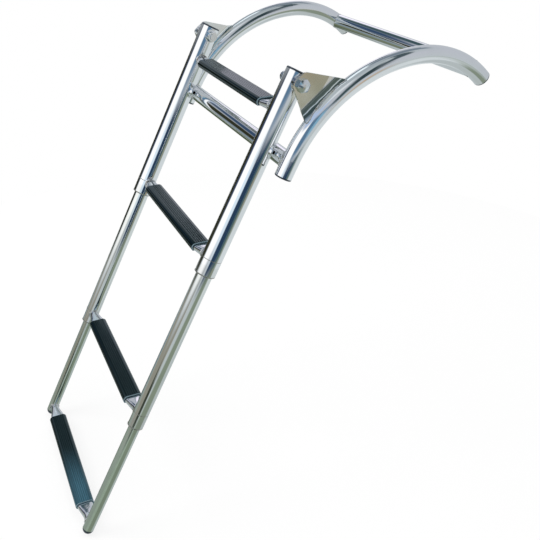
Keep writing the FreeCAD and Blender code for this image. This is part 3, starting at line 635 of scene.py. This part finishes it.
def cut_rim(node: str, side: Side, reach: float, lift: float) -> np.ndarray:
    """The rim of a cross piece's end, where it is cut to sit on the tube beside it.

    The end's vertices are sorted by their turn about the piece's own axis, which runs along X; in each
    sector the outermost one gives the rim's place along X, and the rim is read from them at even turns.

    Args:
        node: the cross piece.
        side: the end that is read.
        reach: how far from the outermost point of the end its rim may lie.
        lift: how far the rim is moved out from the piece's axis, and back along it.
    Returns:
        The rim's points.
    """
    sectors, count = 36, 96
    skin = 0.96  # the share of the end's radius from which a vertex counts as on the outside
    points = node_points(node)
    middle = node_middle(node)
    outward = points[:, 0] * side.value
    spokes = points[:, 1:] - middle[1:]
    span = np.hypot(*spokes.T)
    near = outward > outward.max() - reach
    outer = near & (span > span[near].max() * skin)
    angle = np.arctan2(spokes[outer, 1], spokes[outer, 0])
    sector = np.floor((angle + np.pi) / FULL_TURN * sectors).astype(int) % sectors
    depth = np.full(sectors, -np.inf)
    np.maximum.at(depth, sector, outward[outer])
    known = np.isfinite(depth)
    centers = (np.arange(sectors) + 0.5) / sectors * FULL_TURN - np.pi
    turn = np.linspace(-np.pi, np.pi, count, endpoint=False)
    along = np.interp(turn, centers[known], depth[known], period=FULL_TURN)
    out = span[outer].mean() + lift
    return np.stack([side.value * (along - lift),
                     middle[1] + out * np.cos(turn),
                     middle[2] + out * np.sin(turn)], 1)


@dataclass
class RibbedTread:
    """The rubber sleeve round a step: a flat, ribbed top, rounded edges and two lips underneath.

    The section has arc_points on each edge and flat_points across the top. Along the step come end_rings on
    each rounded end and plain_rings between them, the outer of which lie end_band from the ends.
    """

    step: str
    half_flat: float = 8.25 * MM
    inner_radius: float = 4.78 * MM
    outer_radius: float = 7.33 * MM
    lip_drop: float = 4.4 * MM
    half_length: float = 119.9 * MM
    rib_pitch: float = 3.3 * MM
    rib_depth: float = 0.24 * MM
    rib_count: int = 5
    end_rounding: float = 0.7 * MM
    end_band: float = 4.0 * MM
    arc_points: int = 22
    flat_points: int = 139
    end_rings: int = 6
    plain_rings: int = 14
    crease: float = math.radians(50)

    def _section(self, radius: float, ribbed: bool) -> tuple[np.ndarray, np.ndarray]:
        """The sleeve's line at a radius, from one lip over the top to the other, and its ridges.

        The line is the left arc, the flat top and the right arc of a slot shape. On a ribbed line the top
        sinks by a comb of narrow grooves, the tenth power of a sine one pitch apart, and the ridge value is
        the fourth power of the cosine there; it is 0 elsewhere.
        """
        lip = math.asin(self.lip_drop / radius)
        arc = np.linspace(math.pi + lip, math.pi / 2, self.arc_points)
        flat = np.linspace(-self.half_flat, self.half_flat, self.flat_points + 2)[1:-1]
        left = np.stack([-self.half_flat + radius * np.cos(arc), radius * np.sin(arc)], 1)
        right = left[::-1] * (-1, 1)
        top = np.stack([flat, np.full_like(flat, radius)], 1)
        edge = self.rib_pitch * self.rib_count / 2
        phase = np.pi * (flat + edge) / self.rib_pitch
        inside = (np.abs(flat) < edge) * ribbed
        top[:, 1] -= self.rib_depth * np.sin(phase) ** 10 * inside
        ridge = np.concatenate([np.zeros(len(left)), np.cos(phase) ** 4 * inside, np.zeros(len(right))])
        return np.concatenate([left, top, right]), ridge

    def build(self) -> bpy.types.Object:
        """Carries the sleeve's closed line along the step, drawn in a little at both rounded ends.

        The line runs over the outside and back along the inside. Over the quarter turn at an end the outside
        sinks by the rounding times one minus its sine, as far from the end as the rounding times one minus
        its cosine.

        Returns:
            The sleeve.
        """
        outer, ridge = self._section(self.outer_radius, True)
        inner, _ = self._section(self.inner_radius, False)
        drawn_in = outer + (inner - outer) * (self.end_rounding / (self.outer_radius - self.inner_radius))
        quarter = np.linspace(0, math.pi / 2, self.end_rings)
        end_sink = 1 - np.sin(quarter)
        end_place = self.half_length - self.end_rounding * (1 - np.cos(quarter))
        plain = self.half_length - self.end_band
        sink = np.concatenate([end_sink, np.zeros(self.plain_rings), end_sink[::-1]])
        place = np.concatenate([-end_place, np.linspace(-plain, plain, self.plain_rings), end_place[::-1]])
        outside = outer[None] + (drawn_in - outer)[None] * sink[:, None, None]
        inside = np.broadcast_to(inner[::-1][None], outside.shape)
        rings = np.concatenate([outside, inside], 1)
        points = np.concatenate([np.broadcast_to(place[:, None, None], rings.shape[:2] + (1,)), rings], 2)
        rows, columns = rings.shape[:2]
        lane = np.arange(columns // 2 - 1)
        cap = np.stack([lane, lane + 1, columns - 2 - lane, columns - 1 - lane], 1)
        faces = [grid_faces(rows, columns, False, True), cap, cap[:, ::-1] + (rows - 1) * columns]
        middle = node_middle(f"step_{self.step}_bar")
        piece = make_piece(f"step_{self.step}_ribbed_tread", points.reshape(-1, 3) + middle, faces)
        piece.modifiers.new("Edges", "EDGE_SPLIT").split_angle = self.crease
        blank = np.zeros(len(inner))
        for word, line in (("ridge", ridge), ("rim", np.ones(len(outer)))):
            values = np.tile(np.concatenate([line, blank]), rows)
            piece.data.attributes.new(word, "FLOAT", "POINT").data.foreach_set("value", values)
        return piece


def ring_piece(name: str, middle: np.ndarray, axis: np.ndarray, radius: float,
               thick: float) -> bpy.types.Object:
    """A plain ring: the points middle + (radius + thick cos b)(u cos a + v sin a) + axis thick sin b.

    Args:
        name: the piece's name.
        middle: the ring's middle.
        axis: the unit vector through it.
        radius: from the middle to the line inside the ring.
        thick: the ring's radius about that line.
    Returns:
        The ring.
    """
    rows, columns = 72, 12
    u = np.array([1.0, 0.0, 0.0])
    v = np.cross(axis, u)
    a = np.linspace(0, FULL_TURN, rows, endpoint=False)[:, None, None]
    b = np.linspace(0, FULL_TURN, columns, endpoint=False)[None, :, None]
    spoke = u * np.cos(a) + v * np.sin(a)
    points = middle + (radius + thick * np.cos(b)) * spoke + axis * thick * np.sin(b)
    return make_piece(name, points.reshape(-1, 3), [grid_faces(rows, columns, True, True)])


class LadderPart:
    """A body of the ladder: dresses its nodes and adds the new pieces that ride on it."""

    body: str = ""
    weld_lift = 0.35  # how far a bead's line stands off the cut rim, in radii of the bead

    def __init__(self, book: FinishBook) -> None:
        """Keeps the finishes and starts the count of what is dressed."""
        self.book = book
        self.count = 0

    def dress_node(self, node: str, finish: Finish) -> None:
        """Gives a carried-over node its finish."""
        self.book.dress(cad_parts[node], finish)
        self.count += 1

    def add(self, piece: bpy.types.Object, finish: Finish) -> None:
        """Dresses a new piece and lets it ride on the body."""
        self.book.dress(piece, finish)
        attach(piece, self.body)
        self.count += 1
        LOG.info("%s: %s", self.body, piece.name)

    def add_rim_weld(self, node: str, side: Side, reach: float, radius: float) -> None:
        """Lays a closed bead round the cut end of a cross piece.

        Args:
            node: the cross piece.
            side: the end that is welded.
            reach: how deep the end is cut.
            radius: the bead's.
        """
        bead = WeldBead(f"{node}_{side.word}_weld", radius)
        self.add(bead.along(cut_rim(node, side, reach, radius * self.weld_lift), True), FinishBook.WELD)


class HookFrame(LadderPart):
    """The bent arms with their cross tubes, brackets, pivots and end caps."""

    body = "hook_frame"
    tube_beads = {"lower_cross_tube": 1.2 * MM, "upper_cross_tube": 0.6 * MM}
    tube_cut = 16.0 * MM
    flange_bead = 1.2 * MM
    flange_cut = 7.0 * MM

    def build(self) -> None:
        """Dresses the arms and lays the beads at the cross tubes and the brackets."""
        for node, bead in self.tube_beads.items():
            self.dress_node(node, FinishBook.MIRROR)
            for side in Side:
                self.add_rim_weld(node, side, self.tube_cut, bead)
        # the far (left) side gets the paler copies, painted light
        sheets = {Side.LEFT: FinishBook.PALE_SHEET, Side.RIGHT: FinishBook.SHEET}
        bolts = {Side.LEFT: FinishBook.PALE_BOLT, Side.RIGHT: FinishBook.BOLT}
        for side in Side:
            self.dress_node(f"{side.word}_arm", FinishBook.BENT)
            self.dress_node(f"{side.word}_arm_lower_cap", FinishBook.PLASTIC)
            self.dress_node(f"{side.word}_arm_tip_cap", FinishBook.PLASTIC)
            self.dress_node(f"{side.word}_bracket", sheets[side])
            for part in ("bolt", "nut", "washer", "spacer"):
                self.dress_node(f"{side.word}_pivot_{part}", bolts[side])
            self.add_flange_weld(side)

    def add_flange_weld(self, side: Side) -> None:
        """Lays a bead along the edge of the bracket's flange, where it is cut to sit on the arm.

        The bracket's vertices are sorted by their place along the fold line. At each station the outermost
        one gives the edge where it lies on the cut, and the bead's path runs through these at even steps.
        """
        stations, steps = 60, 90
        points = node_points(f"{side.word}_bracket")
        outward = points[:, 0] * side.value
        fold = np.array([0.0, math.sin(FOLD_LEAN), math.cos(FOLD_LEAN)])
        place = points @ fold
        borders = np.linspace(place.min(), place.max(), stations + 1)
        station = np.clip(np.digitize(place, borders) - 1, 0, stations - 1)
        far = np.full(stations, -np.inf)
        np.maximum.at(far, station, outward)
        on_cut = np.flatnonzero(far > outward.max() - self.flange_cut)
        edge = points[[np.flatnonzero((station == i) & (outward >= far[i] - HAIR))[0] for i in on_cut]]
        edge = edge[np.argsort(edge @ fold)]
        run = path_run(edge)
        even = np.linspace(0, run[-1], steps)
        path = np.stack([np.interp(even, run, edge[:, axis]) for axis in range(3)], 1)
        bead = WeldBead(f"{side.word}_bracket_weld", self.flange_bead)
        self.add(bead.along(path, False), FinishBook.WELD)


@dataclass(frozen=True)
class SectionPlan:
    """What one telescoping section carries: the words in its nodes' names, and its rails' finish."""

    body: str
    rail: str
    steps: tuple[str, ...]
    collars: tuple[str, ...]
    plastic: tuple[str, ...]
    finish: SteelFinish


class LadderSection(LadderPart):
    """A pair of rails with their steps, collars, glides and caps."""

    bar_bead = 1.1 * MM
    bar_cut = 9.0 * MM
    crown_half = 15.0 * MM
    crown_rise = 1.6 * MM
    rim_thick = 0.5 * MM
    rim_inset = 0.55 * MM

    def __init__(self, book: FinishBook, plan: SectionPlan) -> None:
        """Keeps the finishes and the section's plan."""
        super().__init__(book)
        self.body = plan.body
        self.plan = plan

    def build(self) -> None:
        """Dresses the rails, replaces each tread by its ribbed sleeve and lays the beads at the step ends."""
        for side in Side:
            self.dress_node(f"{side.word}_{self.plan.rail}", self.plan.finish)
            for part in self.plan.collars:
                self.dress_collar(f"{side.word}_{part}")
            for part in self.plan.plastic:
                self.dress_node(f"{side.word}_{part}", FinishBook.PLASTIC)
        for step in self.plan.steps:
            bar, tread = f"step_{step}_bar", f"step_{step}_tread"
            self.dress_node(bar, replace(
                FinishBook.BAR, name=f"{bar}_steel", crown_middle=float(node_middle(bar)[1]),
                crown_half=self.crown_half, crown_rise=self.crown_rise))
            # step four gets the rubber with the painted sheen
            rubber = FinishBook.SHEEN_PAINTED_RUBBER if step == "four" else FinishBook.RUBBER
            self.dress_node(tread, rubber)
            sleeve = RibbedTread(step).build()
            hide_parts(tread)
            self.add(sleeve, rubber)
            for side in Side:
                self.add_rim_weld(bar, side, self.bar_cut, self.bar_bead)

    def dress_collar(self, node: str) -> None:
        """Gives a collar its finish and lays a rougher rounded rim, darkened as painted shade, on both its
        ends.
        """
        axis = np.array([0.0, math.sin(LEAN), math.cos(LEAN)])
        points = node_points(node)
        middle = (points.min(0) + points.max(0)) / 2
        along = (points - middle) @ axis
        radial = np.linalg.norm(points - middle - along[:, None] * axis, axis=1)
        half = float(np.ptp(along) / 2)
        mean = float(along.max() - half)
        self.dress_node(node, FinishBook.COLLAR)
        for word, sign in (("high", 1), ("low", -1)):
            place = middle + axis * (mean + sign * (half - self.rim_inset))
            rim = ring_piece(f"{node}_{word}_rim", place, axis,
                             float(radial.max()) - self.rim_thick, self.rim_thick)
            self.add(rim, FinishBook.COLLAR_RIM)


SECTIONS = (
    SectionPlan("upper_section", "upper_rail", ("one", "two"), ("upper_collar",), ("rail_top_cap",),
                FinishBook.MIRROR),
    SectionPlan("middle_section", "middle_rail", ("three",), ("middle_collar",), ("middle_glide",),
                FinishBook.SATIN),
    SectionPlan("lower_section", "lower_rail", ("four",), (), ("lower_glide", "foot_cap"),
                FinishBook.DRAWN),
)


@dataclass(frozen=True)
class Panel:
    """A soft-edged patch of the room that the steel mirrors, all in degrees.

    turn is its middle's direction from -Y towards +X and rise its height over the horizon; wide and tall are
    its half sizes, soft is how far its edges fade, and slant how much it climbs per degree of turn.
    """

    name: str
    turn: float
    rise: float
    wide: float
    tall: float
    soft: float
    color: tuple[float, float, float]
    slant: float = 0.0

    def mask(self, turn: Signal, rise: Signal) -> Signal:
        """1 in the middle of the patch and 0 outside it; its edges above and below are half as soft."""
        offset = turn - self.turn
        aside = offset.math("WRAP", offset, 180.0, -180.0)
        over = rise - self.rise - aside * self.slant
        fade = self.soft * 0.5
        across = 1.0 - aside.math("ABSOLUTE", aside).step(self.wide - self.soft, self.wide + self.soft)
        along = 1.0 - over.math("ABSOLUTE", over).step(self.tall - fade, self.tall + fade)
        return across * along


PANELS = (
    Panel("rear_shade", -142, 62, 42, 12, 8, display(120, 132, 144)),
    Panel("roof_light", -78, 64, 20, 8, 4, (0.95, 1.05, 1.1)),
    Panel("rear_dusk", -98, 37.5, 18, 6.5, 3, display(62, 84, 90)),
    Panel("rear_window", -90, 49, 14, 5, 3, display(190, 206, 214)),
    Panel("rear_pale", -114, 18, 9, 8, 6, (1.1, 1.05, 1.2)),
    Panel("roof_pale", 54, 60, 22, 8, 8, display(218, 224, 228)),
    Panel("right_doorway", 100, 36, 13, 20, 9, display(50, 66, 72), 0.5),
    Panel("doorway_foot", 96, 19, 7, 8, 6, display(52, 76, 80), -1.2),
    Panel("right_beam", 138, 58, 30, 8, 6, display(74, 88, 95), 0.55),
    Panel("sky_strip", 10, 46, 45, 6, 8, display(176, 196, 226)),
    Panel("blue_screen", 64, 20, 20, 13, 8, display(90, 122, 150), -0.35),
    Panel("blue_glass", 84, 12, 9, 7, 5, display(130, 174, 198), -0.9),
    Panel("ground_right", 86, -38, 42, 21, 8, display(134, 145, 130)),
    Panel("ground_front", -15, -14, 50, 9, 6, display(152, 162, 154)),
    Panel("ground_sheen", 40, -18, 20, 4.5, 4, display(162, 176, 162), -0.2),
    Panel("ground_left", -85, -26, 22, 8, 6, display(80, 92, 70)),
    Panel("front_wall_foot", -10, -1, 48, 4.5, 5, display(148, 146, 136)),
    Panel("front_gap", 32, -7.5, 13, 3, 3, display(60, 66, 56), -0.35),
    Panel("front_diffuser", 8, 23, 34, 16, 6, (1.12, 1.12, 1.12)),
    Panel("diffuser_foot", 54, 3, 24, 4.5, 5, display(222, 238, 250), -0.45),
    Panel("navy_curtain", 80, -9, 24, 7, 4, display(40, 62, 88), -0.45),
    Panel("teal_corner", 99, -18, 7, 7, 5, display(78, 102, 104), -0.3),
    Panel("rear_ground", 180, -35, 52, 13, 8, display(212, 219, 221)),
    Panel("brown_crate", 110, -25, 4, 6, 3, display(172, 150, 130)),
    Panel("tan_crate", 117, -8, 3.5, 7, 3, display(190, 168, 144)),
    Panel("left_screen", -68, 24, 12, 8, 6, display(54, 76, 104), -0.5),
    Panel("left_hedge", -67, 0, 36, 10, 6, display(48, 50, 38), 0.42),
    Panel("left_navy", -36, 15, 9, 6, 6, display(60, 74, 104), 0.3),
    Panel("left_glass", -58, -12, 9, 3.5, 4, display(118, 138, 156)),
    Panel("left_bank", -64, -25, 9, 7, 5, display(114, 122, 104)),
)


ROOM_STOPS = (
    (0.0, display(180, 188, 186)),
    (0.25, display(186, 194, 196)),
    (0.40, display(190, 199, 201)),
    (0.50, display(190, 196, 201)),
    (0.70, display(190, 194, 202)),
    (0.85, display(178, 187, 191)),
    (1.0, display(160, 170, 177)),
)


@dataclass
class Studio:
    """A pale floor, soft lamps, a plain room for the steel to mirror, and the camera.

    floor_share is the share of plain white in what the camera sees of the floor, floor_white that white's
    strength and floor_gray the rest's colour. room_dim is the share by which the room is dimmer for diffuse
    rays.
    """

    floor_radius: float = 1.3
    floor_sides: int = 96
    floor_middle: tuple[float, float, float] = (0.0, -0.2, CAD_BOX[0][2] - 2 * MM)
    floor_share: float = 0.8
    floor_white: float = 1.02
    floor_gray: float = 0.9
    room_dim: float = 0.35
    lamp_target: tuple[float, float, float] = (0.0, -0.2, -0.3)
    camera_place: tuple[float, float, float] = (1.00973, -0.62028, 0.24456)
    camera_view: tuple[float, float, float] = (-0.780347, 0.37193, -0.50272)
    camera_roll: float = math.radians(0.25)
    focal_length: float = 46.74
    sensor: float = 36.0

    def build(self) -> None:
        """Sets up all of it."""
        self._floor()
        self._room()
        self._lamp("key_lamp", place=(-0.9, -2.2, 1.9), width=1.8, power=38.0)
        self._lamp("top_lamp", place=(0.6, 0.5, 2.4), width=1.6, power=22.0)
        self._camera()
        bpy.context.scene.view_settings.view_transform = "Standard"

    def _floor(self) -> None:
        """A round pale floor under the lowest foot, white with the ladder's shadow.

        The steel mirrors the room through it, and from below it isn't seen.
        """
        turn = np.linspace(0, FULL_TURN, self.floor_sides, endpoint=False)
        rim = np.stack([np.cos(turn), np.sin(turn), np.zeros_like(turn)], 1) * self.floor_radius
        mesh = bpy.data.meshes.new("floor")
        mesh.from_pydata((rim + self.floor_middle).tolist(), [], [list(range(self.floor_sides))])
        floor = bpy.data.objects.new("floor", mesh)
        bpy.context.scene.collection.objects.link(floor)
        material, graph = new_material("pale_floor")
        is_camera = graph.add("ShaderNodeLightPath", out="Is Camera Ray")
        is_glossy = graph.add("ShaderNodeLightPath", out="Is Glossy Ray")
        glow = graph.add("ShaderNodeEmission", None, {"Color": (1.0, 1.0, 1.0, 1.0),
                                                      "Strength": self.floor_white})
        matt = graph.add("ShaderNodeBsdfDiffuse", None, {"Color": (*(self.floor_gray,) * 3, 1.0)})
        seen = graph.add("ShaderNodeMixShader", None, {0: is_camera * self.floor_share, 1: matt, 2: glow})
        clear = graph.add("ShaderNodeBsdfTransparent")
        below = graph.add("ShaderNodeNewGeometry", out="Backfacing")
        let_through = is_glossy.math("MAXIMUM", is_glossy, below)
        shader = graph.add("ShaderNodeMixShader", None, {0: let_through, 1: seen, 2: clear})
        graph.add("ShaderNodeOutputMaterial", None, {"Surface": shader})
        mesh.materials.append(material)

    def _room(self) -> None:
        """White, but the steel mirrors a plain grey room with the panels hung in it.

        The room's own colours run from straight down to straight up.
        """
        world = bpy.data.worlds.new("studio_room")
        world.use_nodes = True
        bpy.context.scene.world = world
        graph = Graph(world.node_tree)
        direction = graph.add("ShaderNodeTexCoord", out="Generated")
        x, y, z = (graph.axis(direction, letter) for letter in "XYZ")
        turn = x.math("ARCTAN2", x, -y) * math.degrees(1)
        rise = z.math("ARCSINE", z) * math.degrees(1)
        color = graph.add("ShaderNodeValToRGB", {"stops": ROOM_STOPS}, {0: rise / 180.0 + 0.5})
        for panel in PANELS:
            color = graph.mix(panel.mask(turn, rise), color, panel.color)
        is_glossy = graph.add("ShaderNodeLightPath", out="Is Glossy Ray")
        is_diffuse = graph.add("ShaderNodeLightPath", out="Is Diffuse Ray")
        glow = graph.add("ShaderNodeBackground", None, {
            "Color": graph.mix(is_glossy, (1.0, 1.0, 1.0), color),
            "Strength": 1.0 - is_diffuse * self.room_dim})
        graph.add("ShaderNodeOutputWorld", None, {"Surface": glow})

    def _lamp(self, name: str, place: tuple[float, float, float], width: float, power: float) -> None:
        """A large soft area lamp that points at the ladder.

        Args:
            name: the lamp's name.
            place: where it hangs.
            width: its side.
            power: its watts.
        """
        data = bpy.data.lights.new(name, "AREA")
        data.shape = "SQUARE"
        data.size = width
        data.energy = power
        lamp = bpy.data.objects.new(name, data)
        lamp.visible_glossy = False
        aim = (Vector(self.lamp_target) - Vector(place)).to_track_quat("-Z", "Y")
        lamp.matrix_world = Matrix.Translation(Vector(place)) @ aim.to_matrix().to_4x4()
        bpy.context.scene.collection.objects.link(lamp)

    def _camera(self) -> None:
        """The camera at the photograph's place, its view direction, roll and lens."""
        data = bpy.data.cameras.new("camera")
        data.sensor_width = self.sensor
        data.lens = self.focal_length
        data.clip_end = 50.0
        camera = bpy.data.objects.new("camera", data)
        aim = Vector(self.camera_view).to_track_quat("-Z", "Y").to_matrix().to_4x4()
        roll = Matrix.Rotation(self.camera_roll, 4, "Z")
        camera.matrix_world = Matrix.Translation(Vector(self.camera_place)) @ aim @ roll
        bpy.context.scene.collection.objects.link(camera)
        bpy.context.scene.camera = camera


def main() -> None:
    """Builds the studio and the four bodies in order."""
    logging.basicConfig(level=logging.INFO, format="%(name)s %(message)s")
    book = FinishBook()
    Studio().build()
    parts: list[LadderPart] = [HookFrame(book), *(LadderSection(book, plan) for plan in SECTIONS)]
    for part in parts:
        part.build()
        LOG.info("%s: %d pieces and nodes dressed", part.body, part.count)


if __name__ == "__main__":
    main()
